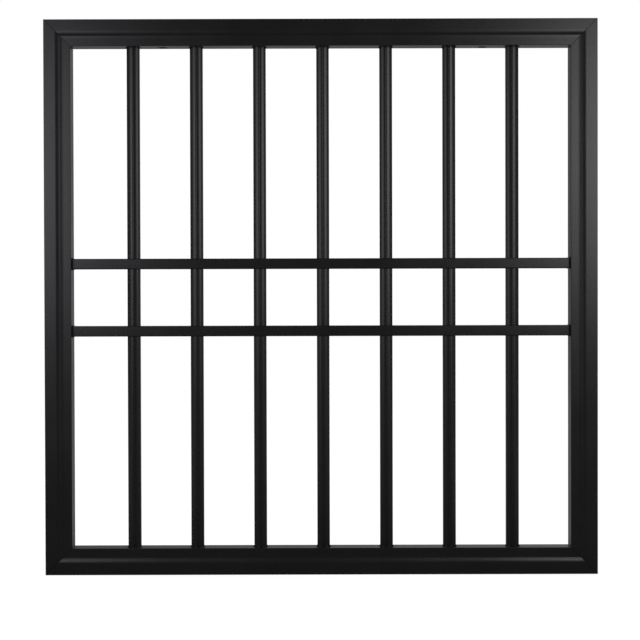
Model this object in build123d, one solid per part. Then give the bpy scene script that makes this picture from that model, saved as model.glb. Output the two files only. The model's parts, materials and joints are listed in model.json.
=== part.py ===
from build123d import *
import math
import os

# Window security grille: a mitred frame of hollow moulded rails, seven upright bars with crowned
# and grooved faces, and two plain cross bars that the upright bars pass through. It is made of
# extruded aluminium and powder coated. Millimetres, +Z up, the front looks towards -Y, and the
# origin is the middle of the bottom face.

# Frame
overall_width = 900.0
overall_height = 904.0
frame_depth = 40.0
rail_wall = 1.8
edge_radius = 0.8

# Moulding on the front of the rails, from the outer edge inwards
flange_width = 18.0
ovolo_width = 6.2
ovolo_tilt = 18.0       # degrees that the face has turned by at the end of the ovolo
slope_width = 2.2
slope_tilt = 19.5       # the same at the end of the slope after it
cove_width = 1.0
cove_tilt = 4.5         # the same at the end of the cove, which then fades out
fade_width = 5.2
inner_flat = 10.9

# Upright bars
bar_count = 7
bar_width = 20.5
bar_depth = 19.0
bar_wall = 1.5
crown_rise = 3.0        # how far the rounded front and back stand past the sides
bar_edge_radius = 1.2
groove_width = 3.0
groove_depth = 1.1
end_gap = 86.6          # clear gap between a stile and the nearest upright bar, as the mean of both sides
bar_shift = 3.3         # how far to the right of the middle the row of upright bars stands
bar_seat = 12.0         # how far a bar reaches into the rail past its inner wall

# Cross bars
cross_height = 17.2
cross_cover = 2.5       # how far a cross bar stands past the upright bars, front and back
cross_back_gap = 3.0    # from the back of a cross bar to the back of the frame
cross_wall = 1.5
cross_edge_radius = 1.5
cross_spacing = 110.0   # between the centre lines of the two cross bars
cross_seat = 12.0       # how far a cross bar reaches into the stile past its inner wall

# Fits, welds and fixing holes
slot_clearance = 0.3
weld_leg = 2.4
weld_throat = 1.4
screw_hole_radius = 3.25
access_hole_radius = 7.5
fixing_offset = 3.0     # from the middle of its gap outwards to a fixing hole

# Corner cleats inside the mitred corners
cleat_reach = 30.0      # how far each arm reaches past the block in the corner
cleat_web = 3.5
cleat_clearance = 0.3

# Values worked out from the sizes above
moulding_arcs = [
    (ovolo_width, ovolo_tilt),
    (slope_width, slope_tilt),
    (cove_width, cove_tilt),
    (fade_width, 0.0),
]
rail_face = flange_width + sum(width for width, tilt in moulding_arcs) + inner_flat
front = -frame_depth / 2
cross_depth = bar_depth + 2 * cross_cover
bar_line = -front - cross_back_gap - cross_depth / 2
crown_radius = (bar_width ** 2 / 4 + crown_rise ** 2) / (2 * crown_rise)
opening_width = overall_width - 2 * rail_face
first_bar = opening_width / 2 - end_gap - bar_width / 2
bar_pitch = 2 * first_bar / (bar_count - 1)
bar_places = [bar_shift + bar_pitch * number - first_bar for number in range(bar_count)]
cross_heights = {
    "upper_cross_bar": (overall_height + cross_spacing) / 2,
    "lower_cross_bar": (overall_height - cross_spacing) / 2,
}


def arc_about(centre, radius, start_angle, end_angle):
    """Arc given by its centre and two angles in degrees."""
    points = []
    for angle in (start_angle, (start_angle + end_angle) / 2, end_angle):
        turn = math.radians(angle)
        points.append((centre[0] + radius * math.cos(turn), centre[1] + radius * math.sin(turn)))
    return ThreePointArc(*points)


def closed_face(edges):
    """Face inside edges that follow each other, with straight lines across any gap."""
    outline = []
    for number, edge in enumerate(edges):
        outline.append(edge)
        following = edges[(number + 1) % len(edges)]
        if (following @ 0 - edge @ 1).length > 1e-6:
            outline.append(Line(edge @ 1, following @ 0))
    return make_face(outline)


def moulding(inset):
    """Tangent arcs of the rail's face, shrunk by inset, and how far back the inner flat lies."""
    edges = []
    across, back, start = flange_width, 0.0, 0.0
    for width, end in moulding_arcs:
        radius = width / (math.sin(math.radians(end)) - math.sin(math.radians(start)))
        middle_across = across - radius * math.sin(math.radians(start))
        middle_back = back + radius * math.cos(math.radians(start))
        edges.append(arc_about((middle_across, middle_back), radius - inset, start - 90, end - 90))
        across += width
        back = middle_back - radius * math.cos(math.radians(end))
        start = end
    return edges, back


def rail_face_shape(inset):
    """Rail section, shrunk by inset: first axis inwards from the outer edge, second axis back."""
    edges, face_drop = moulding(inset)
    edges.append(Line((rail_face - inset, face_drop + inset), (rail_face - inset, frame_depth - inset)))
    edges.append(Line((inset, frame_depth - inset), (inset, inset)))
    return closed_face(edges)


def rail_section():
    """Hollow moulded section of the rails, with its outer edges eased."""
    solid_section = rail_face_shape(0)
    corners = solid_section.vertices().filter_by(is_rail_corner)
    return fillet(corners, edge_radius) - rail_face_shape(rail_wall)


def is_rail_corner(vertex):
    """True at the four outer corners of the rail section."""
    at_side = min(vertex.X, rail_face - vertex.X) < edge_radius / 2
    at_face = min(vertex.Y, frame_depth - vertex.Y) < moulding(0)[1] + edge_radius / 2
    return at_side and at_face


def straight_rail(length):
    """Rail along X with its outer edge at Z 0 and both ends mitred."""
    section_plane = Plane(origin=(-length / 2, front, 0), x_dir=(0, 0, -1), z_dir=(1, 0, 0))
    rail = extrude(section_plane * rail_section(), length)
    for end in (-1, 1):
        mitre = Plane(origin=(end * length / 2, 0, 0), z_dir=(end, 0, -1))
        rail = split(rail, mitre, Keep.BOTTOM)
    return rail


def crowned_shape(inset):
    """Outline of an upright bar without its grooves, shrunk by inset."""
    half_width = bar_width / 2 - inset
    radius = crown_radius - inset
    reach = math.degrees(math.asin(half_width / radius))
    centre_offset = bar_depth / 2 - crown_radius
    edges = [
        arc_about((0, centre_offset), radius, 90 - reach, 90 + reach),
        arc_about((0, -centre_offset), radius, 270 - reach, 270 + reach),
    ]
    return closed_face(edges)


def groove_circles(grow):
    """The round grooves down the front and back of an upright bar."""
    radius = (groove_width ** 2 / 4 + groove_depth ** 2) / (2 * groove_depth)
    offset = bar_depth / 2 - groove_depth + radius
    return [Pos(0, side * offset) * Circle(radius + grow) for side in (-1, 1)]


def bar_section():
    """Hollow section of an upright bar, with the wall carried round behind its grooves."""
    body = crowned_shape(0)
    body = fillet(body.vertices(), bar_edge_radius)
    cavity = crowned_shape(bar_wall)
    for groove, backing in zip(groove_circles(0), groove_circles(bar_wall)):
        body -= groove
        cavity -= backing
    return body - cavity


def upright_bar(place):
    """Upright bar that ends inside the bottom and top rails."""
    low = rail_face - rail_wall - bar_seat
    length = overall_height - 2 * low
    return extrude(Pos(place, bar_line, low) * bar_section(), length)


def bar_slots(low, high):
    """Punched slots for all upright bars, between two heights."""
    slot = crowned_shape(-slot_clearance)
    return [extrude(Pos(place, bar_line, low) * slot, high - low) for place in bar_places]


def cross_shape(inset):
    """Outline of a cross bar, shrunk by inset."""
    shape = Rectangle(cross_depth - 2 * inset, cross_height - 2 * inset)
    return fillet(shape.vertices(), max(cross_edge_radius - inset, cross_edge_radius / 2))


def cross_prism(shape, height, start, length):
    """Shape run along X from start, at the height of a cross bar."""
    section_plane = Plane(origin=(start, bar_line, height), x_dir=(0, 1, 0), z_dir=(1, 0, 0))
    return extrude(section_plane * shape, length)


def cross_bar(height):
    """Hollow cross bar, slotted above and below for the upright bars."""
    reach = opening_width / 2 + rail_wall + cross_seat
    shape = cross_shape(0) - cross_shape(cross_wall)
    bar = cross_prism(shape, height, -reach, 2 * reach)
    for slot in bar_slots(height - cross_height, height + cross_height):
        bar -= slot
    return bar


def top_rail():
    """Top rail with bar slots below and two fixing holes through it."""
    rail = Pos(0, 0, overall_height) * straight_rail(overall_width)
    inner = overall_height - rail_face
    for slot in bar_slots(inner - rail_wall, inner + 2 * rail_wall):
        rail -= slot
    for place in fixing_places():
        rail -= Pos(place, bar_line, inner) * Cylinder(access_hole_radius, 4 * rail_wall)
        rail -= Pos(place, bar_line, overall_height) * Cylinder(screw_hole_radius, 4 * rail_wall)
    return rail


def fixing_places():
    """Places in the second gap from each side where the fixing screws go up through the rail."""
    reach = first_bar - bar_pitch / 2 + fixing_offset
    return [bar_shift - reach, bar_shift + reach]


def bottom_rail():
    """Bottom rail with bar slots above."""
    rail = Rot(0, 180, 0) * straight_rail(overall_width)
    for slot in bar_slots(rail_face - 2 * rail_wall, rail_face + rail_wall):
        rail -= slot
    return rail


def stile(side):
    """Left (-1) or right (1) stile with slots for the cross bars."""
    turned = Rot(0, side * 90, 0) * straight_rail(overall_height)
    post = Pos(side * overall_width / 2, 0, overall_height / 2) * turned
    slot_shape = cross_shape(-slot_clearance)
    slot_middle = side * opening_width / 2
    for height in cross_heights.values():
        post -= cross_prism(slot_shape, height, slot_middle - 2 * rail_wall, 4 * rail_wall)
    return post


def cleat_outline():
    """Cleat in its corner: arms along +X and -Z from the corner, with three open cells."""
    width = rail_face - 2 * rail_wall - 2 * cleat_clearance
    arm = width + cleat_reach
    outline = Pos(arm / 2, -width / 2) * Rectangle(arm, width)
    outline += Pos(width / 2, -arm / 2) * Rectangle(width, arm)
    cell = width - 2 * cleat_web
    outline -= Pos(width / 2, -width / 2) * Rectangle(cell, cell)
    cell_length = cleat_reach - cleat_web
    middle = width + cell_length / 2
    outline -= Pos(middle, -width / 2) * Rectangle(cell_length, cell)
    outline -= Pos(width / 2, -middle) * Rectangle(cell, cell_length)
    return outline


def corner_cleat(side, top):
    """Cleat in one corner of the frame: side is -1 left or 1 right, top is 1 above or -1 below."""
    front_face = front + moulding(0)[1] + rail_wall + cleat_clearance
    thickness = -front - rail_wall - cleat_clearance - front_face
    drawing_plane = Plane(origin=(0, front_face, 0), x_dir=(1, 0, 0), z_dir=(0, -1, 0))
    cleat = extrude(drawing_plane * cleat_outline(), -thickness)
    if side > 0:
        cleat = mirror(cleat, about=Plane.YZ)
    if top < 0:
        cleat = mirror(cleat, about=Plane.XY)
    inset = rail_wall + cleat_clearance
    corner_x = side * (overall_width / 2 - inset)
    corner_z = overall_height / 2 + top * (overall_height / 2 - inset)
    return Pos(corner_x, 0, corner_z) * cleat


def weld_fillet(length):
    """Weld fillet along Y in the corner between the +X and +Z directions."""
    dish = weld_throat / math.sqrt(2)
    face = ThreePointArc((weld_leg, 0), (dish, dish), (0, weld_leg))
    legs = [Line((0, weld_leg), (0, 0)), Line((0, 0), (weld_leg, 0))]
    drawing_plane = Plane(origin=(0, length / 2, 0), x_dir=(1, 0, 0), z_dir=(0, -1, 0))
    return extrude(drawing_plane * make_face([face] + legs), length)


def bar_welds(top):
    """Weld fillets on both sides of each upright bar, at the top (1) or bottom (-1) rail."""
    length = bar_depth - 2 * crown_rise - 2 * bar_edge_radius
    fillet_right = weld_fillet(length)
    if top > 0:
        fillet_right = mirror(fillet_right, about=Plane.XY)
    fillet_left = mirror(fillet_right, about=Plane.YZ)
    height = overall_height / 2 + top * (overall_height / 2 - rail_face)
    welds = []
    for place in bar_places:
        welds.append(Pos(place + bar_width / 2, bar_line, height) * fillet_right)
        welds.append(Pos(place - bar_width / 2, bar_line, height) * fillet_left)
    return Compound(children=welds)


def cross_welds(side):
    """Weld fillets above and below both cross bars, at the left (-1) or right (1) stile."""
    length = cross_depth - 2 * cross_edge_radius
    fillet_above = weld_fillet(length)
    if side > 0:
        fillet_above = mirror(fillet_above, about=Plane.YZ)
    fillet_below = mirror(fillet_above, about=Plane.XY)
    place = side * opening_width / 2
    welds = []
    for height in cross_heights.values():
        welds.append(Pos(place, bar_line, height + cross_height / 2) * fillet_above)
        welds.append(Pos(place, bar_line, height - cross_height / 2) * fillet_below)
    return Compound(children=welds)


def build():
    """All pieces of the grille by name."""
    pieces = {
        "top_rail": top_rail(),
        "bottom_rail": bottom_rail(),
        "left_stile": stile(-1),
        "right_stile": stile(1),
    }
    for number, place in enumerate(bar_places, 1):
        pieces[f"upright_bar_{number}"] = upright_bar(place)
    for name, height in cross_heights.items():
        pieces[name] = cross_bar(height)
    for top, level in ((1, "top"), (-1, "bottom")):
        for side, hand in ((-1, "left"), (1, "right")):
            pieces[f"{level}_{hand}_corner_cleat"] = corner_cleat(side, top)
        pieces[f"{level}_bar_welds"] = bar_welds(top)
    for side, hand in ((-1, "left"), (1, "right")):
        pieces[f"{hand}_cross_bar_welds"] = cross_welds(side)
    return pieces


os.makedirs("parts", exist_ok=True)
for piece_name, piece in build().items():
    export_step(piece, f"parts/{piece_name}.step")
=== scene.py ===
"""Looks of a black window security grille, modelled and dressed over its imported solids.

The grille is a mitred frame of hollow moulded aluminium rails that holds seven hollow upright bars with
crowned, grooved faces and two plain cross bars. All of it is welded up and powder coated black. Lengths
are in metres, in the frame's own axes: +X right, the front looks towards -Y, +Z up.
"""

from __future__ import annotations

import json
import logging
import math
from abc import ABC, abstractmethod
from collections.abc import Callable, Iterable
from dataclasses import dataclass, field
from enum import Enum

import bmesh
import bpy
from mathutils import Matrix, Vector


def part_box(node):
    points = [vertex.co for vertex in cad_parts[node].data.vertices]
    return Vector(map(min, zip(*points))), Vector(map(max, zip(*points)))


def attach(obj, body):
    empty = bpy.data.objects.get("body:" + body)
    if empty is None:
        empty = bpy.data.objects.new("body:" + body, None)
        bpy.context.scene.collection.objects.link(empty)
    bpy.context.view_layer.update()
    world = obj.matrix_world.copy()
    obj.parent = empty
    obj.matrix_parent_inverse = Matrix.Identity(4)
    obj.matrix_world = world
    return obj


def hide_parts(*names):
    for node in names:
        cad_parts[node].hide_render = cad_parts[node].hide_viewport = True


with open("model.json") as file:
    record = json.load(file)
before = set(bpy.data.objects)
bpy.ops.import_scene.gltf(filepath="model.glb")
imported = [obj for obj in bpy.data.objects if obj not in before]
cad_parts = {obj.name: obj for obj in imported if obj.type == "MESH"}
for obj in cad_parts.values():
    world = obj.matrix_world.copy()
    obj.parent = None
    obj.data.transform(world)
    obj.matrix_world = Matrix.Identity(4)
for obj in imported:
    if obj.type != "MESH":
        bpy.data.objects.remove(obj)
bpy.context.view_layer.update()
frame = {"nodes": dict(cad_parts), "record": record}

LOG = logging.getLogger("grille")
TOUCH = 1e-5        # corners closer than this to a place are at it
SET_BACK = 2e-5     # a cavity is this much shorter at each end, so that the bridge to it knows its way
ON_PLANE = 1e-7     # corners closer than this to a cutting plane are on it
ALIGNED = 1.0 - 1e-5        # the dot product above which two directions are the same
PLACE_DIGITS = 7    # decimals of a metre that tell one place from the next
NOISE_LOW, NOISE_HIGH = 0.3, 0.7        # nearly all values of a noise texture lie between these
FACTOR, NUMBER_A, NUMBER_B, COLOUR_A, COLOUR_B = 0, 2, 3, 6, 7      # inputs of a Mix node, whose names repeat
NUMBER_OUT, COLOUR_OUT = 0, 2       # outputs of a Mix node
WHITE = (1.0, 1.0, 1.0, 1.0)

Inputs = dict[str | int, object]


def mm(value: float) -> float:
    """Millimetres as metres."""
    return value / 1000.0


def linear(hex_colour: str) -> tuple[float, float, float, float]:
    """Turn an sRGB hex colour into the linear colour that a shader takes.

    Args:
        hex_colour: Six hex digits after a hash, such as #1a1a1c.

    Returns:
        Red, green, blue and full opacity.
    """
    parts = [int(hex_colour[place:place + 2], 16) / 255.0 for place in (1, 3, 5)]
    red, green, blue = (p / 12.92 if p <= 0.04045 else ((p + 0.055) / 1.055) ** 2.4 for p in parts)
    return red, green, blue, 1.0


def add_node(tree: bpy.types.NodeTree, kind: str, inputs: Inputs, **settings: object) -> bpy.types.Node:
    """Add a node with its settings and its links.

    Args:
        tree: The node tree that gets the node.
        kind: The node's type after ShaderNode, such as TexNoise.
        inputs: A constant, or the output socket to link from, for each input by name or number.
        **settings: Values of the node's own properties.

    Returns:
        The new node.
    """
    node = tree.nodes.new("ShaderNode" + kind)
    for name, value in settings.items():
        setattr(node, name, value)
    for name, value in inputs.items():
        if isinstance(value, bpy.types.NodeSocket):
            tree.links.new(value, node.inputs[name])
        else:
            node.inputs[name].default_value = value
    return node


def empty_tree(owner: bpy.types.Material | bpy.types.World) -> bpy.types.NodeTree:
    """Give a material or a world a node tree with nothing in it yet.

    Args:
        owner: The material or the world.

    Returns:
        The tree.
    """
    owner.use_nodes = True
    owner.node_tree.nodes.clear()
    return owner.node_tree


class Blank:
    """A piece on the bench: a mesh open in edit mode, whose parts are picked by their place."""

    def __init__(self, obj: bpy.types.Object) -> None:
        """Open an object for editing.

        Args:
            obj: The object, which sits at the origin, unturned and unscaled.
        """
        self.obj = obj
        hold(obj)
        bpy.ops.object.mode_set(mode="EDIT")

    @classmethod
    def block(cls, name: str, low: Vector, high: Vector) -> Blank:
        """Start a piece as a block.

        Args:
            name: The piece's name.
            low: The block's lowest corner.
            high: The block's highest corner.

        Returns:
            The block, open on the bench.
        """
        hold()
        bpy.ops.mesh.primitive_cube_add(size=1.0, location=(low + high) / 2.0)
        obj = bpy.context.object
        obj.name = name
        obj.scale = high - low
        bpy.ops.object.transform_apply(location=True, rotation=True, scale=True)
        return cls(obj)

    def _pick(self, mode: str, parts: str, test: Callable[[object], bool]) -> None:
        """Select the parts of one kind that pass a test, and nothing else.

        Args:
            mode: The select mode for that kind of part.
            parts: The name under which the mesh lists them.
            test: Tells whether a part is selected.
        """
        bpy.ops.mesh.select_mode(type=mode)
        bpy.ops.mesh.select_all(action="DESELECT")
        mesh = bmesh.from_edit_mesh(self.obj.data)
        mesh.normal_update()
        for part in getattr(mesh, parts):
            if test(part):
                part.select_set(True)
        bmesh.update_edit_mesh(self.obj.data)

    def pick_corners(self, test: Callable[[Vector], bool]) -> None:
        """Select the corners whose place passes a test."""
        self._pick("VERT", "verts", lambda corner: test(corner.co))

    def pick_edges(self, test: Callable[[bmesh.types.BMEdge], bool]) -> None:
        """Select the edges that pass a test."""
        self._pick("EDGE", "edges", test)

    def pick_faces(self, test: Callable[[bmesh.types.BMFace], bool]) -> None:
        """Select the faces that pass a test."""
        self._pick("FACE", "faces", test)

    def pick_looking(self, way: Vector) -> None:
        """Select the flat faces that look one way."""
        self.pick_faces(lambda face: face.normal.dot(way) > ALIGNED)

    def pick_long_edges(self, along: Vector) -> None:
        """Select the edges that run along a direction."""
        self.pick_edges(lambda e: abs((e.verts[1].co - e.verts[0].co).normalized().dot(along)) > ALIGNED)

    def cut(self, place: Vector, normal: Vector, clear: bool = False, fill: bool = False) -> None:
        """Cut what is selected with a plane.

        Args:
            place: A point on the plane.
            normal: The plane's normal.
            clear: Whether what lies on the normal's side is removed.
            fill: Whether the cut is closed with a face.
        """
        bpy.ops.mesh.bisect(plane_co=place, plane_no=normal, clear_outer=clear, use_fill=fill,
                            threshold=ON_PLANE)

    def shift(self, test: Callable[[Vector], bool], way: Vector) -> None:
        """Move the corners whose place passes a test."""
        self.pick_corners(test)
        bpy.ops.transform.translate(value=way)

    def ease(self, radius: float, segments: int, corner_angle: float = 90.0) -> None:
        """Round the selected edges.

        Args:
            radius: The radius of the rounding.
            segments: How many strips the rounding has.
            corner_angle: The angle between the faces beside the edges, in degrees.
        """
        reach = radius / math.tan(math.radians(corner_angle / 2.0))
        bpy.ops.mesh.bevel(offset=reach, segments=segments, affect="EDGES", clamp_overlap=True)

    def open_ends(self, along: Vector) -> None:
        """Take off the two faces at the ends, which leaves a tube."""
        self.pick_faces(lambda face: abs(face.normal.dot(along)) > ALIGNED)
        bpy.ops.mesh.delete(type="ONLY_FACE")

    def line_with(self, cavity: Blank) -> None:
        """Line this tube with the tube of its cavity, and close the wall at both ends.

        Args:
            cavity: The cavity's tube, open on the bench, which becomes part of this one.
        """
        cavity.done()
        hold(self.obj, cavity.obj)
        bpy.ops.object.join()
        bpy.ops.object.mode_set(mode="EDIT")
        for end in (-1.0, 1.0):
            middle = sum((Vector(c) for c in self.obj.bound_box), Vector()) / len(self.obj.bound_box)
            self.pick_edges(lambda e: e.is_boundary and end * self._along(e, middle) > 0.0)
            bpy.ops.mesh.bridge_edge_loops()

    def _along(self, edge: bmesh.types.BMEdge, middle: Vector) -> float:
        """How far an edge lies along the piece's longest direction.

        Args:
            edge: The edge.
            middle: The point from which the distance counts.

        Returns:
            The distance, less than zero on the low side.
        """
        size = self.obj.dimensions
        axis = max(range(3), key=lambda number: size[number])
        return (edge.verts[0].co[axis] + edge.verts[1].co[axis]) / 2.0 - middle[axis]

    def done(self) -> bpy.types.Object:
        """Turn the faces outwards and take the piece off the bench.

        Returns:
            The piece.
        """
        bpy.ops.mesh.select_mode(type="VERT")
        bpy.ops.mesh.select_all(action="SELECT")
        bpy.ops.mesh.normals_make_consistent(inside=False)
        bpy.ops.object.mode_set(mode="OBJECT")
        return self.obj


def hold(*objects: bpy.types.Object) -> None:
    """Select objects and nothing else.

    Args:
        *objects: The objects, of which the first becomes the active one.
    """
    bpy.ops.object.select_all(action="DESELECT")
    for obj in objects:
        obj.select_set(True)
    if objects:
        bpy.context.view_layer.objects.active = objects[0]


def placed_copy(obj: bpy.types.Object, name: str, place: Vector, turn: float = 0.0) -> bpy.types.Object:
    """Copy a piece with its own mesh, turn it about Y and move it.

    Args:
        obj: The piece to copy.
        name: The copy's name.
        place: How far the copy is moved.
        turn: How far the copy is turned about Y first, in degrees.

    Returns:
        The copy, with its place in its mesh.
    """
    hold(obj)
    bpy.ops.object.duplicate()
    copy = bpy.context.object
    copy.name = name
    copy.rotation_euler = (0.0, math.radians(turn), 0.0)
    copy.location = place
    bpy.ops.object.transform_apply(location=True, rotation=True, scale=True)
    return copy


def joined(objects: list[bpy.types.Object], name: str) -> bpy.types.Object:
    """Join several objects into the first one.

    Args:
        objects: The objects.
        name: The name that the joined object gets.

    Returns:
        The joined object.
    """
    hold(*objects)
    bpy.ops.object.join()
    objects[0].name = name
    return objects[0]


def carve(piece: bpy.types.Object, cutter: bpy.types.Object) -> None:
    """Cut the shape of one object out of a piece.

    Args:
        piece: The piece that is cut.
        cutter: The object whose shape is cut out, and which is gone afterwards.
    """
    hold(piece)
    bpy.ops.object.modifier_add(type="BOOLEAN")
    tool = piece.modifiers[-1]
    tool.operation = "DIFFERENCE"
    tool.solver = "EXACT"
    tool.object = cutter
    bpy.ops.object.modifier_apply(modifier=tool.name)
    bpy.data.objects.remove(cutter)


def shade(piece: bpy.types.Object, sharp_angle: float = 35.0) -> None:
    """Shade a piece smooth, with its large faces kept flat.

    Args:
        piece: The piece.
        sharp_angle: The angle between faces, in degrees, from which their edge stays sharp.
    """
    hold(piece)
    bpy.ops.object.shade_smooth_by_angle(angle=math.radians(sharp_angle))
    bpy.ops.object.modifier_add(type="WEIGHTED_NORMAL")
    piece.modifiers[-1].keep_sharp = True
    bpy.ops.object.modifier_apply(modifier=piece.modifiers[-1].name)


@dataclass(frozen=True)
class PowderCoat:
    """Satin black polyester powder coat, sprayed as dry powder on aluminium and baked.

    The baked film is an opaque plastic of one even black. It gives broad, soft highlights, a fine grit from
    the powder, a faint orange peel from the melt, and gloss that wanders a little with the film's thickness.
    """

    name: str = "satin_black_powder_coat"
    thin_film: str = "#131314"
    thick_film: str = "#101011"
    ior: float = 1.5
    matt: float = 0.29
    glossy: float = 0.24
    grit: float = mm(1.3)           # real grit is about 0.3 mm, drawn coarser so that it shows in the render
    grit_height: float = mm(0.012)
    peel: float = mm(6.0)           # real orange peel is 2 to 4 mm across, drawn coarser so that it shows
    peel_height: float = mm(0.03)
    cloud: float = mm(55.0)
    grit_detail: float = 2.0
    peel_detail: float = 1.0
    cloud_detail: float = 3.0

    def make(self) -> bpy.types.Material:
        """Make the material.

        Returns:
            The material.
        """
        material = bpy.data.materials.new(self.name)
        tree = empty_tree(material)
        place = add_node(tree, "TexCoord", {}).outputs["Object"]
        cloud, peel, grit = (
            add_node(tree, "TexNoise", {"Vector": place, "Scale": 1.0 / size, "Detail": detail})
            for size, detail in ((self.cloud, self.cloud_detail), (self.peel, self.peel_detail),
                                 (self.grit, self.grit_detail)))
        film = add_node(tree, "Mix", {FACTOR: cloud.outputs["Fac"], COLOUR_A: linear(self.thick_film),
                                      COLOUR_B: linear(self.thin_film)}, data_type="RGBA")
        gloss = add_node(tree, "MapRange", {"Value": cloud.outputs["Fac"], "From Min": NOISE_LOW,
                                            "From Max": NOISE_HIGH, "To Min": self.glossy,
                                            "To Max": self.matt})
        waves = add_node(tree, "Bump", {"Height": peel.outputs["Fac"], "Distance": self.peel_height})
        grain = add_node(tree, "Bump", {"Height": grit.outputs["Fac"], "Distance": self.grit_height,
                                        "Normal": waves.outputs["Normal"]})
        surface = add_node(tree, "BsdfPrincipled", {
            "Base Color": film.outputs[COLOUR_OUT],
            "Roughness": gloss.outputs["Result"],
            "IOR": self.ior,
            "Metallic": 0.0,
            "Normal": grain.outputs["Normal"],
        })
        add_node(tree, "OutputMaterial", {"Surface": surface.outputs["BSDF"]})
        return material


@dataclass(frozen=True)
class MillAluminium:
    """Extruded aluminium as it leaves the press, with fine die lines along the extrusion and sawn ends.

    It is a soft grey metal. The die lines stretch its highlights across the extrusion.
    """

    name: str = "mill_finish_aluminium"
    bright: str = "#c9cacc"
    dull: str = "#b4b5b8"
    matt: float = 0.46
    glossy: float = 0.34
    line: float = mm(0.6)           # real die lines are about 0.1 mm apart, drawn coarser so that they show
    line_height: float = mm(0.01)
    line_detail: float = 2.0
    stretch: float = 0.02           # how much slower the pattern changes along the extrusion, which is Y

    def make(self) -> bpy.types.Material:
        """Make the material.

        Returns:
            The material.
        """
        material = bpy.data.materials.new(self.name)
        tree = empty_tree(material)
        place = add_node(tree, "TexCoord", {}).outputs["Object"]
        drawn = add_node(tree, "Mapping", {"Vector": place, "Scale": (1.0, self.stretch, 1.0)})
        lines = add_node(tree, "TexNoise", {"Vector": drawn.outputs["Vector"], "Scale": 1.0 / self.line,
                                            "Detail": self.line_detail})
        tone = add_node(tree, "Mix", {FACTOR: lines.outputs["Fac"], COLOUR_A: linear(self.dull),
                                      COLOUR_B: linear(self.bright)}, data_type="RGBA")
        gloss = add_node(tree, "MapRange", {"Value": lines.outputs["Fac"], "From Min": NOISE_LOW,
                                            "From Max": NOISE_HIGH, "To Min": self.glossy,
                                            "To Max": self.matt})
        grooves = add_node(tree, "Bump", {"Height": lines.outputs["Fac"], "Distance": self.line_height})
        surface = add_node(tree, "BsdfPrincipled", {
            "Base Color": tone.outputs[COLOUR_OUT],
            "Roughness": gloss.outputs["Result"],
            "Metallic": 1.0,
            "Normal": grooves.outputs["Normal"],
        })
        add_node(tree, "OutputMaterial", {"Surface": surface.outputs["BSDF"]})
        return material


@dataclass
class SubAssembly(ABC):
    """Pieces of the grille that are made and finished together."""

    slot = "black_powder_coat"
    pieces: dict[str, bpy.types.Object] = field(default_factory=dict, init=False)

    @abstractmethod
    def build(self) -> None:
        """Make the meshes."""

    def take(self, piece: bpy.types.Object, node: str) -> None:
        """Put a finished piece in the place of its solid.

        Args:
            piece: The finished piece.
            node: The solid that the piece stands for.
        """
        shade(piece)
        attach(piece, "root")
        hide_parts(node)
        self.pieces[node] = piece
        LOG.info("%s stands for %s: %d faces", piece.name, node, len(piece.data.polygons))

    def dress(self, finish: bpy.types.Material) -> None:
        """Give every piece its finish.

        Args:
            finish: The material of all of them.
        """
        for piece in self.pieces.values():
            piece.data.materials.clear()
            piece.data.materials.append(finish)


@dataclass(frozen=True)
class Moulding:
    """The moulded face of the rails: a flat flange, then tangent arcs back to an inner flat."""

    flange_width: float = mm(18.0)
    arcs: tuple[tuple[float, float], ...] = ((mm(6.2), 18.0), (mm(2.2), 19.5), (mm(1.0), 4.5), (mm(5.2), 0.0))
    strips: int = 6

    def face_points(self, inset: float) -> list[tuple[float, float]]:
        """Points along the arcs, from the flange inwards.

        Each arc has its width and the tilt in degrees that it ends with, and starts with the tilt of the
        one before it.

        Args:
            inset: How far the surface lies inside the rail's face, for the cavity.

        Returns:
            The distance from the rail's outer edge and the distance behind the flange of each point.
        """
        points = []
        across, back, start = self.flange_width, 0.0, 0.0
        for width, end_degrees in self.arcs:
            end = math.radians(end_degrees)
            radius = width / (math.sin(end) - math.sin(start))
            middle_across = across - radius * math.sin(start)
            middle_back = back + radius * math.cos(start)
            first = 1 if points else 0      # a later arc begins with the last point of the one before it
            for number in range(first, self.strips + 1):
                tilt = start + (end - start) * number / self.strips
                points.append((middle_across + (radius - inset) * math.sin(tilt),
                               middle_back - (radius - inset) * math.cos(tilt)))
            across, back, start = across + width, middle_back - radius * math.cos(end), end
        return points


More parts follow.
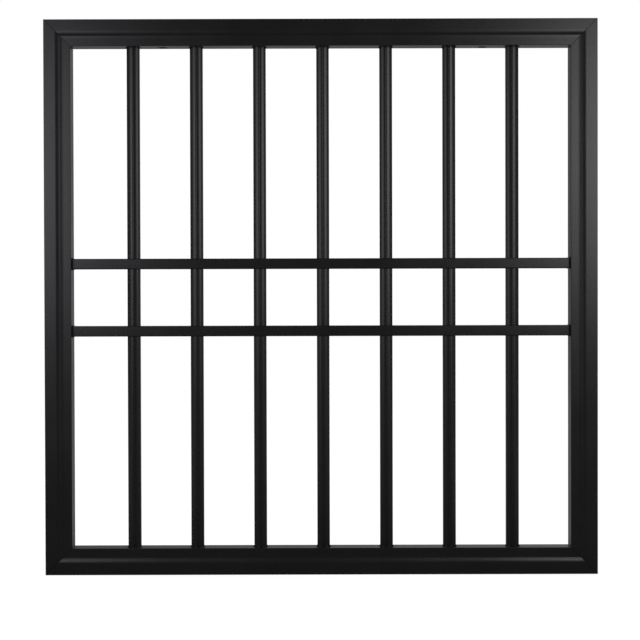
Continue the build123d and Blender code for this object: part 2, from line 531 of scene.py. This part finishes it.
@dataclass(frozen=True)
class CrownedSection:
    """Section of the upright bars: crowned front and back, each with a round groove down its middle."""

    width: float = mm(20.5)
    depth: float = mm(19.0)
    crown_rise: float = mm(3.0)
    groove_width: float = mm(3.0)
    groove_depth: float = mm(1.1)
    crown_strips: int = 7
    groove_strips: int = 8
    shoulder: float = mm(1.8)       # plain strip beside the long edges, which leaves room to ease them

    @property
    def crown_radius(self) -> float:
        """Radius of the crowned faces."""
        return ((self.width / 2.0) ** 2 + self.crown_rise ** 2) / (2.0 * self.crown_rise)

    @property
    def groove_radius(self) -> float:
        """Radius of the groove."""
        return ((self.groove_width / 2.0) ** 2 + self.groove_depth ** 2) / (2.0 * self.groove_depth)

    @property
    def edge_angle(self) -> float:
        """Angle between a crowned face and the side of the bar, in degrees."""
        return 90.0 + math.degrees(math.asin(self.width / 2.0 / self.crown_radius))

    def crown(self, across: float, inset: float) -> float:
        """Distance from the bar's middle plane to its crowned face."""
        height = math.sqrt((self.crown_radius - inset) ** 2 - across ** 2)
        return self.depth / 2.0 - self.crown_radius + height

    def face(self, across: float, inset: float, grooved: bool) -> float:
        """Distance from the bar's middle plane to its face.

        Args:
            across: The place across the face, from its middle.
            inset: How far the surface lies inside the bar's own.
            grooved: Whether the face has its groove.

        Returns:
            The distance from the middle plane.
        """
        crown = self.crown(across, inset)
        reach = self.groove_radius + inset
        if not grooved or abs(across) >= reach:
            return crown
        centre = self.depth / 2.0 - self.groove_depth + self.groove_radius
        return min(crown, centre - math.sqrt(reach ** 2 - across ** 2))

    def groove_edge(self, inset: float) -> float:
        """Where the groove meets the crown.

        Args:
            inset: How far the surface lies inside the bar's own.

        Returns:
            The distance from the middle of the face.
        """
        big = self.crown_radius - inset
        small = self.groove_radius + inset
        apart = self.crown_radius + self.groove_radius - self.groove_depth
        level = (big ** 2 - small ** 2 + apart ** 2) / (2.0 * apart)
        return math.sqrt(big ** 2 - level ** 2)

    def stations(self, inset: float, grooved: bool) -> list[float]:
        """Where a face is cut so that it can follow the crown and the groove.

        Args:
            inset: How far the surface lies inside the bar's own.
            grooved: Whether the face has its groove.

        Returns:
            The places across the face, from its middle.
        """
        edge = self.groove_edge(inset) if grooved else 0.0
        outer = self.width / 2.0 - inset - self.shoulder
        half = [edge + (outer - edge) * number / self.crown_strips for number in range(self.crown_strips + 1)]
        places = [-place for place in half] + half
        if grooved:
            turns = (math.pi * number / self.groove_strips for number in range(1, self.groove_strips))
            places += [edge * math.cos(turn) for turn in turns]
        return sorted({round(place, PLACE_DIGITS) for place in places})

    def block(self, name: str, low: Vector, high: Vector, inset: float, grooved: bool) -> Blank:
        """Make the crowned shape as an upright block.

        Args:
            name: The piece's name.
            low: The lowest corner of the full section's box, groove and all.
            high: The highest corner of it.
            inset: How far the shape lies inside the full section.
            grooved: Whether its faces have grooves.

        Returns:
            The shape, open on the bench.
        """
        middle = (low + high) / 2.0
        half_side = self.crown(self.width / 2.0 - inset, inset)
        corner = Vector((self.width / 2.0 - inset, half_side, 0.0))
        start = Vector((middle.x, middle.y, low.z)) - corner
        blank = Blank.block(name, start, Vector((middle.x, middle.y, high.z)) + corner)
        across = Vector((1.0, 0.0, 0.0))
        stations = self.stations(inset, grooved)
        for side in (-1.0, 1.0):
            outward = Vector((0.0, side, 0.0))
            for place in stations:
                blank.pick_looking(outward)
                blank.cut(Vector((middle.x + place, middle.y, middle.z)), across)
            for place in stations:
                rise = self.face(place, inset, grooved) - half_side
                blank.shift(lambda co: abs(co.x - middle.x - place) < TOUCH
                            and side * (co.y - middle.y) > half_side - TOUCH, outward * rise)
        return blank


class RailPlace(Enum):
    """The sides of the frame, each with how far a rail is turned about Y to lie there, in degrees."""

    TOP = 0.0
    RIGHT = 90.0
    BOTTOM = 180.0
    LEFT = -90.0


@dataclass
class CrossBars(SubAssembly):
    """The two plain cross bars, hollow and slotted above and below for the upright bars."""

    wall: float = mm(1.5)
    edge_radius: float = mm(1.5)
    edge_strips: int = 4
    uprights: UprightBars | None = None
    nodes: tuple[str, ...] = ("upper_cross_bar", "lower_cross_bar")

    def block(self, name: str, low: Vector, high: Vector, inset: float) -> Blank:
        """Make the bar's rounded outline as a block with open ends.

        Args:
            name: The piece's name.
            low: The lowest corner of the full bar.
            high: The highest corner of the full bar.
            inset: How far the outline lies inside the full one.

        Returns:
            The block, open on the bench.
        """
        along = Vector((1.0, 0.0, 0.0))
        room = Vector((SET_BACK if inset > 0.0 else 0.0, inset, inset))
        blank = Blank.block(name, low + room, high - room)
        blank.pick_long_edges(along)
        blank.ease(max(self.edge_radius - inset, self.edge_radius / 2.0), self.edge_strips)
        return blank

    def build(self) -> None:
        """Make both cross bars."""
        along = Vector((1.0, 0.0, 0.0))
        for node in self.nodes:
            low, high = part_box(node)
            bar = self.block("plain_" + node, low, high, 0.0)
            bar.open_ends(along)
            bar.done()
            cavity = self.block("cavity", low, high, self.wall)
            cavity.open_ends(along)
            bar.line_with(cavity)
            piece = bar.done()
            carve(piece, self.uprights.slot_tool(low.z - self.edge_radius, high.z + self.edge_radius))
            self.take(piece, node)

    def slot_tool(self, low_x: float, high_x: float, clearance: float) -> bpy.types.Object:
        """Make the punch for the cross bars' slots in a stile.

        Args:
            low_x: Where the punch starts.
            high_x: Where the punch ends.
            clearance: The room around the bars.

        Returns:
            The punch, for both cross bars.
        """
        punches = []
        for node in self.nodes:
            low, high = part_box(node)
            low.x = low_x
            high.x = high_x
            punches.append(self.block("punch", low, high, -clearance).done())
        return joined(punches, "cross_bar_punch")


@dataclass
class UprightBars(SubAssembly):
    """The seven upright bars, hollow, with crowned and grooved faces."""

    section: CrownedSection = CrownedSection()
    wall: float = mm(1.5)
    edge_radius: float = mm(1.2)
    edge_strips: int = 4
    slot_clearance: float = mm(0.3)
    nodes: tuple[str, ...] = tuple(sorted(name for name in frame["nodes"] if name.startswith("upright_bar_")))

    def build(self) -> None:
        """Make one bar and copy it for the others."""
        along = Vector((0.0, 0.0, 1.0))
        first_low, first_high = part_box(self.nodes[0])
        bar = self.section.block("grooved_" + self.nodes[0], first_low, first_high, 0.0, True)
        side = self.section.width / 2.0
        middle = (first_low.x + first_high.x) / 2.0
        bar.pick_edges(lambda e: all(abs(abs(v.co.x - middle) - side) < TOUCH for v in e.verts)
                       and abs(e.verts[0].co.z - e.verts[1].co.z) > side)
        bar.ease(self.edge_radius, self.edge_strips, self.section.edge_angle)
        bar.open_ends(along)
        bar.done()
        end = SET_BACK * along
        cavity = self.section.block("cavity", first_low + end, first_high - end, self.wall, True)
        cavity.open_ends(along)
        bar.line_with(cavity)
        first = bar.done()
        copies = []
        for node in self.nodes[1:]:
            step = Vector((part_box(node)[0].x - first_low.x, 0.0, 0.0))
            copies.append(placed_copy(first, "grooved_" + node, step))
        for piece, node in zip([first] + copies, self.nodes):
            self.take(piece, node)

    def slot_tool(self, low_z: float, high_z: float) -> bpy.types.Object:
        """Make the punch for the bars' slots between two heights.

        Args:
            low_z: Where the punch starts.
            high_z: Where the punch ends.

        Returns:
            The punch, for all upright bars.
        """
        punches = []
        for node in self.nodes:
            low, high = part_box(node)
            low.z = low_z
            high.z = high_z
            punches.append(self.section.block("punch", low, high, -self.slot_clearance, False).done())
        return joined(punches, "upright_bar_punch")


@dataclass
class MouldedFrame(SubAssembly):
    """The mitred frame: four hollow rails with a flange, an ogee and an inner flat on their face."""

    moulding: Moulding = Moulding()
    wall: float = mm(1.8)
    edge_radius: float = mm(0.8)
    edge_strips: int = 4
    mitre_seam: float = mm(0.35)    # the coated joint shows as a fine V this deep
    slot_clearance: float = mm(0.3)
    screw_hole_radius: float = mm(3.25)
    access_hole_radius: float = mm(7.5)
    hole_sides: int = 48
    uprights: UprightBars | None = None
    crosses: CrossBars | None = None

    def __post_init__(self) -> None:
        """Read the frame's outer sizes from its solids."""
        low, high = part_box("left_stile")
        self.face = high.x - low.x
        self.front = low.y
        self.back = high.y
        self.height = high.z
        self.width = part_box("right_stile")[1].x - low.x

    @property
    def punch_reach(self) -> float:
        """How far a punch or a drill reaches to both sides of a wall's face."""
        return 2.0 * self.wall

    def tube(self, name: str, length: float, inset: float) -> Blank:
        """Make the outline of a rail along X, with its outer edge at Z 0 and both ends mitred and open.

        Args:
            name: The piece's name.
            length: The rail's full length.
            inset: How far the outline lies inside the rail's own.

        Returns:
            The outline, open on the bench.
        """
        half = length / 2.0
        low = Vector((-half, self.front + inset, inset - self.face))
        high = Vector((half, self.back - inset, -inset))
        blank = Blank.block(name, low, high)
        forward = Vector((0.0, -1.0, 0.0))
        up = Vector((0.0, 0.0, 1.0))
        points = self.moulding.face_points(inset)
        for place, _ in points:
            blank.pick_looking(forward)
            blank.cut(Vector((0.0, 0.0, -place)), up)
        for place, back in points + [(self.face - inset, points[-1][1])]:
            blank.shift(lambda co: abs(co.z + place) < TOUCH and co.y < low.y + TOUCH,
                        Vector((0.0, back - inset, 0.0)))
        blank.open_ends(Vector((1.0, 0.0, 0.0)))
        if inset == 0.0:
            blank.pick_edges(self.is_outer_corner)
            blank.ease(self.edge_radius, self.edge_strips)
        for end in (-1.0, 1.0):
            blank.pick_faces(lambda face: True)
            blank.cut(Vector((end * half, 0.0, 0.0)), Vector((end, 0.0, -1.0)), clear=True)
        return blank

    def is_outer_corner(self, edge: bmesh.types.BMEdge) -> bool:
        """Whether an edge is one of the four long outer edges of a rail on the bench.

        Args:
            edge: The edge.

        Returns:
            Whether it is one.
        """
        start, end = (corner.co for corner in edge.verts)
        if abs(start.z - end.z) > TOUCH or abs(start.y - end.y) > TOUCH:
            return False
        at_side = min(-start.z, start.z + self.face) < TOUCH
        return at_side and abs(start.x - end.x) > self.face

    def bench_rail(self, length: float) -> bpy.types.Object:
        """Make a hollow rail along X, with its outer edge at Z 0.

        Args:
            length: The rail's full length.

        Returns:
            The rail.
        """
        rail = self.tube("rail", length, 0.0)
        rail.pick_edges(lambda edge: edge.is_boundary)
        bpy.ops.mesh.mark_seam()
        rail.done()
        rail.line_with(self.tube("cavity", length - 2.0 * SET_BACK, self.wall))
        rail.pick_edges(lambda edge: edge.seam)
        bpy.ops.mesh.bevel(offset=self.mitre_seam, segments=1, affect="EDGES")
        rail.pick_edges(lambda edge: True)
        bpy.ops.mesh.mark_seam(clear=True)
        return rail.done()

    def hole_tool(self) -> bpy.types.Object:
        """Make the drills for the screw holes and the access holes below them in the top rail.

        Returns:
            The drills, as one object.
        """
        mount = next(m for m in frame["record"]["mounts"] if m["name"] == "top_fixing_holes")
        middle = Vector(mount["pos_m"])
        reach = mm(mount["dims"]["spacing_x_mm"]) / 2.0
        drills = []
        for side in (-1.0, 1.0):
            for radius, height in ((self.screw_hole_radius, self.height),
                                   (self.access_hole_radius, self.height - self.face)):
                hold()
                bpy.ops.mesh.primitive_cylinder_add(
                    vertices=self.hole_sides, radius=radius, depth=2.0 * self.punch_reach,
                    location=(middle.x + side * reach, middle.y, height))
                bpy.ops.object.transform_apply(location=True, rotation=True, scale=True)
                drills.append(bpy.context.object)
        return joined(drills, "drills")

    def build(self) -> None:
        """Make the four rails, punch their slots and drill the top one."""
        level = self.bench_rail(self.width)
        post = self.bench_rail(self.height)
        side_x = self.width / 2.0
        inner_x = side_x - self.face
        inner_z = self.height - self.face
        reach = self.punch_reach
        places = (
            ("top_rail", level, RailPlace.TOP, Vector((0.0, 0.0, self.height)),
             self.uprights.slot_tool(inner_z - reach, inner_z + reach)),
            ("bottom_rail", level, RailPlace.BOTTOM, Vector((0.0, 0.0, 0.0)),
             self.uprights.slot_tool(self.face - reach, self.face + reach)),
            ("left_stile", post, RailPlace.LEFT, Vector((-side_x, 0.0, self.height / 2.0)),
             self.crosses.slot_tool(-inner_x - reach, -inner_x + reach, self.slot_clearance)),
            ("right_stile", post, RailPlace.RIGHT, Vector((side_x, 0.0, self.height / 2.0)),
             self.crosses.slot_tool(inner_x - reach, inner_x + reach, self.slot_clearance)),
        )
        for node, bench_piece, rail_place, place, punch in places:
            rail = placed_copy(bench_piece, "moulded_" + node, place, rail_place.value)
            carve(rail, punch)
            if rail_place is RailPlace.TOP:
                carve(rail, self.hole_tool())
            self.take(rail, node)
        for bench_piece in (level, post):
            bpy.data.objects.remove(bench_piece)


@dataclass
class WeldBeads(SubAssembly):
    """Small weld beads in the corners between the bars and the rails that they end in."""

    leg: float = mm(2.4)
    throat: float = mm(1.4)
    ripple: float = mm(0.12)
    rows: int = 9
    columns: int = 4

    def bead(self, length: float) -> bpy.types.Object:
        """Make a bead along Y in the corner between +X and +Z, with a dished and rippled face.

        Args:
            length: The bead's length.

        Returns:
            The bead.
        """
        half = length / 2.0
        blank = Blank.block("bead", Vector((0.0, -half, 0.0)), Vector((self.leg, half, self.leg)))
        blank.pick_faces(lambda face: True)
        slope = Vector((1.0, 0.0, 1.0)).normalized()
        blank.cut(Vector((self.leg, 0.0, 0.0)), slope, clear=True, fill=True)
        step = length / self.rows
        row_places = [step * number - half for number in range(1, self.rows)]
        for place in row_places:
            blank.pick_faces(lambda face: True)
            blank.cut(Vector((0.0, place, 0.0)), Vector((0.0, 1.0, 0.0)))
        column_places = [self.leg * number / self.columns for number in range(1, self.columns)]
        for place in column_places:
            blank.pick_faces(lambda face: face.normal.dot(slope) > ALIGNED)
            blank.cut(Vector((place, 0.0, self.leg - place)), Vector((1.0, 0.0, -1.0)).normalized())
        deepest = self.leg / math.sqrt(2.0) - self.throat
        for number, row in enumerate([-half] + row_places + [half]):
            for place in column_places:
                share = 1.0 - (2.0 * place / self.leg - 1.0) ** 2
                sink = (deepest + self.ripple * (number % 2)) * share
                blank.shift(lambda co: abs(co.x - place) < TOUCH and abs(co.z + place - self.leg) < TOUCH
                            and abs(co.y - row) < TOUCH, slope * -sink)
        return blank.done()

    def place_beads(self, node: str, name: str, length: float, spots: Iterable[tuple[Vector, float]]) -> None:
        """Copy the bead to each of its spots and join the copies into one piece.

        Args:
            node: The solid that the beads stand for.
            name: The piece's name.
            length: The length of a bead.
            spots: The corner that each bead lies in, and its turn about Y in degrees.
        """
        bead = self.bead(length)
        copies = [placed_copy(bead, name, place, turn) for place, turn in spots]
        bpy.data.objects.remove(bead)
        self.take(joined(copies, name), node)


@dataclass
class BarEndBeads(WeldBeads):
    """The beads on both sides of each upright bar, at the top and bottom rails."""

    uprights: UprightBars | None = None

    def build(self) -> None:
        """Make the beads at the top rail and at the bottom rail."""
        for node, name, down in (("top_bar_welds", "top_weld_beads", True),
                                 ("bottom_bar_welds", "bottom_weld_beads", False)):
            low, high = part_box(node)
            height = high.z if down else low.z
            middle_y = (low.y + high.y) / 2.0
            spots = []
            for bar in self.uprights.nodes:
                left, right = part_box(bar)
                spots.append((Vector((right.x, middle_y, height)), 90.0 if down else 0.0))
                spots.append((Vector((left.x, middle_y, height)), 180.0 if down else -90.0))
            self.place_beads(node, name, high.y - low.y, spots)


@dataclass
class CrossEndBeads(WeldBeads):
    """The beads above and below each cross bar, at the left and right stiles."""

    crosses: CrossBars | None = None

    def build(self) -> None:
        """Make the beads at the left stile and at the right stile."""
        for node, name, left in (("left_cross_bar_welds", "left_weld_beads", True),
                                 ("right_cross_bar_welds", "right_weld_beads", False)):
            low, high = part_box(node)
            stile = low.x if left else high.x
            middle_y = (low.y + high.y) / 2.0
            spots = []
            for bar in self.crosses.nodes:
                under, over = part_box(bar)
                spots.append((Vector((stile, middle_y, over.z)), 0.0 if left else -90.0))
                spots.append((Vector((stile, middle_y, under.z)), 90.0 if left else 180.0))
            self.place_beads(node, name, high.y - low.y, spots)


@dataclass
class CornerCleats(SubAssembly):
    """The four hidden corner cleats, which keep the shape of their solids."""

    slot = "bare_aluminium"
    nodes: tuple[str, ...] = tuple(sorted(name for name in frame["nodes"] if name.endswith("_corner_cleat")))

    def build(self) -> None:
        """Take over the solids as they are."""
        for node in self.nodes:
            self.pieces[node] = frame["nodes"][node]
            LOG.info("%s keeps its solid", node)


@dataclass(frozen=True)
class SoftBox:
    """A lamp behind a white cloth, which is brightest in its middle."""

    place: tuple[float, float, float]
    width: float
    height: float
    watts: float
    colour: str
    target: tuple[float, float, float] = (0.0, 0.0, 0.45)
    spread: float = 180.0           # degrees; a grid on the cloth makes it less
    cores: tuple[float, ...] = (1.0, 0.55)      # sizes of the cloth's nested glows, as shares of the box

    def light(self, name: str) -> None:
        """Put the lamp in its place, turned towards its target.

        Args:
            name: The lamp's name.
        """
        aim = (Vector(self.target) - Vector(self.place)).to_track_quat("-Z", "Y").to_euler()
        for number, core in enumerate(self.cores, 1):
            hold()
            bpy.ops.object.light_add(type="AREA", location=self.place, rotation=aim)
            lamp = bpy.context.object
            lamp.name = f"{name}_{number}"
            lamp.data.shape = "RECTANGLE"
            lamp.data.size = self.width * core
            lamp.data.size_y = self.height * core
            lamp.data.spread = math.radians(self.spread)
            lamp.data.energy = self.watts / len(self.cores)
            lamp.data.color = linear(self.colour)[:3]
            lamp.visible_camera = False


@dataclass
class Studio:
    """The pale floor, the surroundings, three soft boxes and the camera.

    The picture shows white all round. The grille's gloss shows a darker room instead, with pale sides and a
    lit wall behind the grille, as it does in the photograph. The tones of that room are shares of white.
    """

    fill: float = 0.5               # light that comes evenly from all round, as a share of white
    dark: float = 0.1               # the unlit part of the room that the gloss shows
    sides: float = 0.24             # the walls far left and right
    side_edge: tuple[float, float] = (0.2, 0.45)    # slopes to the left or right between which they begin
    behind: tuple[float, float] = (0.15, 0.26)      # the wall far behind the grille, at its left and right
    behind_turn: float = 0.12       # slope to the left or right at which that wall has those tones
    wall_edge: tuple[float, float] = (0.3, 0.7)     # slopes towards the back between which that wall begins
    floor_sides: float = 0.55       # the floor left and right of the grille
    floor_side_edge: tuple[float, float] = (0.75, 1.0)      # distances to the side between which it begins
    floor_fade: tuple[float, float] = (1.3, 2.0)    # distances between which it fades to the walls' tone
    floor_behind: float = 0.23      # the floor behind the grille
    floor_edge: tuple[float, float] = (0.1, 0.5)    # distances to the back between which it begins
    floor_sink: float = mm(0.2)     # keeps the floor clear of the grille's own bottom face
    floor_share: float = 0.9        # share of the floor's white that no shadow takes away
    floor_glow: float = 1.07        # strength of that share, which brings the floor up to the white behind
    floor_size: float = 16.0
    floor_colour: str = "#e6e6e6"
    left_box: SoftBox = SoftBox(place=(-0.87, -1.52, 0.76), width=0.62, height=0.76, watts=1.1,
                                colour="#f5f5ff", target=(-0.45, 0.0, 0.45), spread=95.0)
    right_box: SoftBox = SoftBox(place=(0.84, -1.52, 0.83), width=0.6, height=0.74, watts=1.4,
                                 colour="#fffdff", target=(0.45, 0.0, 0.45), spread=95.0)
    ceiling_box: SoftBox = SoftBox(place=(0.0, 2.0, 2.6), width=3.2, height=2.6, watts=42.0,
                                   colour="#ffffff")
    camera_place: tuple[float, float, float] = (-0.0017, -3.02, 0.457)
    camera_level: float = 90.0      # degrees; a camera at 0 looks straight down
    camera_pitch: float = -0.803    # degrees, downwards
    camera_roll: float = 0.144      # degrees
    camera_angle: float = 19.676    # degrees across the picture

    def studio_value(self, tree: bpy.types.NodeTree, place: bpy.types.NodeOutputs,
                     edge: tuple[float, float], behind: bpy.types.NodeSocket | float,
                     side_edge: tuple[float, float], sides: bpy.types.NodeSocket | float,
                     ) -> tuple[bpy.types.NodeSocket, bpy.types.NodeSocket, bpy.types.NodeSocket]:
        """Add the nodes that tell the pale sides and the lit wall behind the grille from the dark room.

        Args:
            tree: The node tree that gets the nodes.
            place: The place or direction, taken apart.
            edge: The depths between which the dark turns to the tone behind the grille.
            behind: The tone behind the grille.
            side_edge: The distances from the middle between which both turn to the tone of the sides.
            sides: The tone of the sides.

        Returns:
            How white the gloss sees this place, whether a ray is the picture's own, and whether it is a
            reflected one.
        """
        path = add_node(tree, "LightPath", {})
        seen = add_node(tree, "Math", {0: path.outputs["Is Camera Ray"],
                                       1: path.outputs["Is Transmission Ray"]}, operation="MAXIMUM")
        across = add_node(tree, "Math", {0: place["X"]}, operation="ABSOLUTE").outputs["Value"]
        room = add_node(tree, "MapRange", {"Value": place["Y"], "From Min": edge[0], "From Max": edge[1],
                                           "To Min": self.dark, "To Max": behind})
        tone = add_node(tree, "MapRange", {"Value": across, "From Min": side_edge[0],
                                           "From Max": side_edge[1], "To Min": room.outputs["Result"],
                                           "To Max": sides})
        return tone.outputs["Result"], seen.outputs["Value"], path.outputs["Is Glossy Ray"]

    def make_world(self) -> None:
        """Surround the grille with white for the picture, the room for its gloss, and an even fill light."""
        world = bpy.data.worlds.new("white_surroundings")
        bpy.context.scene.world = world
        world.cycles.sampling_method = "NONE"
        tree = empty_tree(world)
        way = add_node(tree, "TexCoord", {}).outputs["Generated"]
        parts = add_node(tree, "SeparateXYZ", {"Vector": way}).outputs
        wall = add_node(tree, "MapRange", {"Value": parts["X"], "From Min": -self.behind_turn,
                                           "From Max": self.behind_turn, "To Min": self.behind[0],
                                           "To Max": self.behind[1]})
        tone, seen, glossy = self.studio_value(tree, parts, self.wall_edge, wall.outputs["Result"],
                                               self.side_edge, self.sides)
        lit = add_node(tree, "Mix", {FACTOR: glossy, NUMBER_A: self.fill, NUMBER_B: tone}, data_type="FLOAT")
        strength = add_node(tree, "Mix", {FACTOR: seen, NUMBER_A: lit.outputs[NUMBER_OUT], NUMBER_B: 1.0},
                            data_type="FLOAT")
        sky = add_node(tree, "Background", {"Color": WHITE, "Strength": strength.outputs[NUMBER_OUT]})
        add_node(tree, "OutputWorld", {"Surface": sky.outputs["Background"]})

    def make_floor(self) -> None:
        """Lay the pale floor, which shows white and keeps the grille's shadow."""
        hold()
        bpy.ops.mesh.primitive_plane_add(size=self.floor_size, location=(0.0, 0.0, -self.floor_sink))
        floor = bpy.context.object
        floor.name = "studio_floor"
        material = bpy.data.materials.new("pale_studio_floor")
        material.cycles.emission_sampling = "NONE"
        tree = empty_tree(material)
        place = add_node(tree, "TexCoord", {}).outputs["Object"]
        parts = add_node(tree, "SeparateXYZ", {"Vector": place}).outputs
        reach = add_node(tree, "VectorMath", {0: place}, operation="LENGTH").outputs["Value"]
        sides = add_node(tree, "MapRange", {"Value": reach, "From Min": self.floor_fade[0],
                                            "From Max": self.floor_fade[1], "To Min": self.floor_sides,
                                            "To Max": self.sides})
        tone, seen, glossy = self.studio_value(tree, parts, self.floor_edge, self.floor_behind,
                                               self.floor_side_edge, sides.outputs["Result"])
        share = add_node(tree, "Math", {0: seen, 1: self.floor_share}, operation="MULTIPLY")
        plain = add_node(tree, "BsdfDiffuse", {"Color": linear(self.floor_colour)})
        glow = add_node(tree, "Emission", {"Strength": self.floor_glow})
        mirror = add_node(tree, "Emission", {"Strength": tone})
        shown = add_node(tree, "MixShader", {0: share.outputs["Value"], 1: plain.outputs["BSDF"],
                                             2: glow.outputs["Emission"]})
        surface = add_node(tree, "MixShader", {0: glossy, 1: shown.outputs["Shader"],
                                               2: mirror.outputs["Emission"]})
        add_node(tree, "OutputMaterial", {"Surface": surface.outputs["Shader"]})
        floor.data.materials.append(material)

    def make_camera(self) -> None:
        """Stand the camera square before the grille."""
        hold()
        turn = (math.radians(self.camera_level + self.camera_pitch), math.radians(self.camera_roll), 0.0)
        bpy.ops.object.camera_add(location=self.camera_place, rotation=turn)
        camera = bpy.context.object
        camera.name = "camera"
        camera.data.sensor_fit = "HORIZONTAL"
        camera.data.angle = math.radians(self.camera_angle)
        bpy.context.scene.camera = camera

    def build(self) -> None:
        """Set up the whole studio."""
        self.make_camera()
        self.make_world()
        self.make_floor()
        self.left_box.light("left_soft_box")
        self.right_box.light("right_soft_box")
        self.ceiling_box.light("ceiling_soft_box")
        bpy.context.scene.view_settings.view_transform = "Standard"
        LOG.info("studio is set up")


def main() -> None:
    """Build and dress the grille, sub-assembly by sub-assembly, and set up its studio."""
    logging.basicConfig(level=logging.INFO, format="%(name)s: %(message)s")
    Studio().build()
    coat = PowderCoat().make()
    uprights = UprightBars()
    crosses = CrossBars(uprights=uprights)
    frame_rails = MouldedFrame(uprights=uprights, crosses=crosses)
    coated = (uprights, crosses, frame_rails, BarEndBeads(uprights=uprights), CrossEndBeads(crosses=crosses))
    for part in coated:
        part.build()
        part.dress(coat)
    cleats = CornerCleats()
    cleats.build()
    cleats.dress(MillAluminium().make())


if __name__ == "__main__":
    main()
